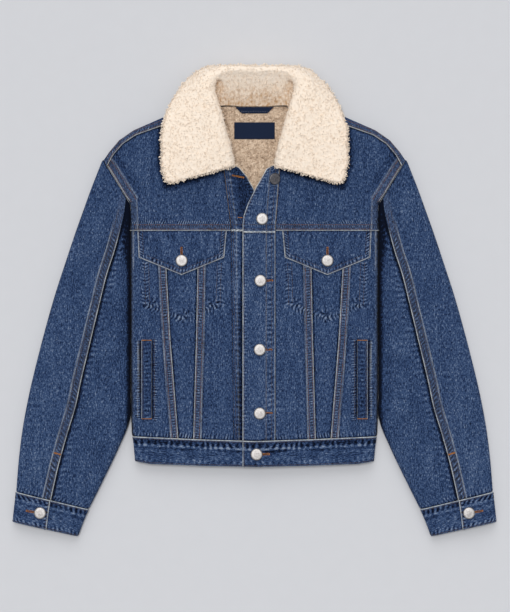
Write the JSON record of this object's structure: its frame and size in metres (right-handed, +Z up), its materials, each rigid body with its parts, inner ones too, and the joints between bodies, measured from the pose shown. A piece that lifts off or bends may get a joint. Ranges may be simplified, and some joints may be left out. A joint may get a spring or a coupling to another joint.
{
  "type": "sherpa lined jacket",
  "caption": "Denim trucker jacket with a sherpa collar and lining, a buttoned front, pointed pocket flaps and a waistband, laid out flat on its back.",
  "frame": {"origin": "the middle of the bounding box's base, on the surface that the jacket lies on", "axes": "+Z is up, out of the front of the jacket; +X runs to the wearer's left, across both sleeves; +Y runs from the hem to the collar"},
  "size_m": [0.776, 0.7543, 0.047],
  "materials": {
    "denim": "washed dark blue twill, faded along the seams",
    "sherpa": "cream curly pile",
    "lining": "tan curly pile",
    "tape": "dark navy woven tape",
    "metal": "satin"
  },
  "bodies": {
    "root": {"back_lining": "lining", "back_panel": "denim", "back_yoke": "denim", "collar": "sherpa", "cuff_button_left": "metal", "cuff_button_right": "metal", "cuff_left": "denim", "cuff_right": "denim", "flap_button_left": "metal", "flap_button_right": "metal", "front_button_1": "metal", "front_button_2": "metal", "front_button_3": "metal", "front_button_4": "metal", "front_center_left": "denim", "front_center_right": "denim", "front_middle_left": "denim", "front_middle_right": "denim", "front_side_left": "denim", "front_side_right": "denim", "front_yoke_left": "denim", "front_yoke_right": "denim", "hanger_loop": "tape", "neck_button": "metal", "neck_label": "tape", "placket_left": "denim", "placket_right": "denim", "pocket_flap_left": "denim", "pocket_flap_right": "denim", "pocket_welt_left": "denim", "pocket_welt_right": "denim", "sleeve_inner_left": "denim", "sleeve_inner_right": "denim", "sleeve_outer_left": "denim", "sleeve_outer_right": "denim", "waistband_back": "denim", "waistband_button": "metal", "waistband_left": "denim", "waistband_right": "denim"}
  },
  "joints": []
}
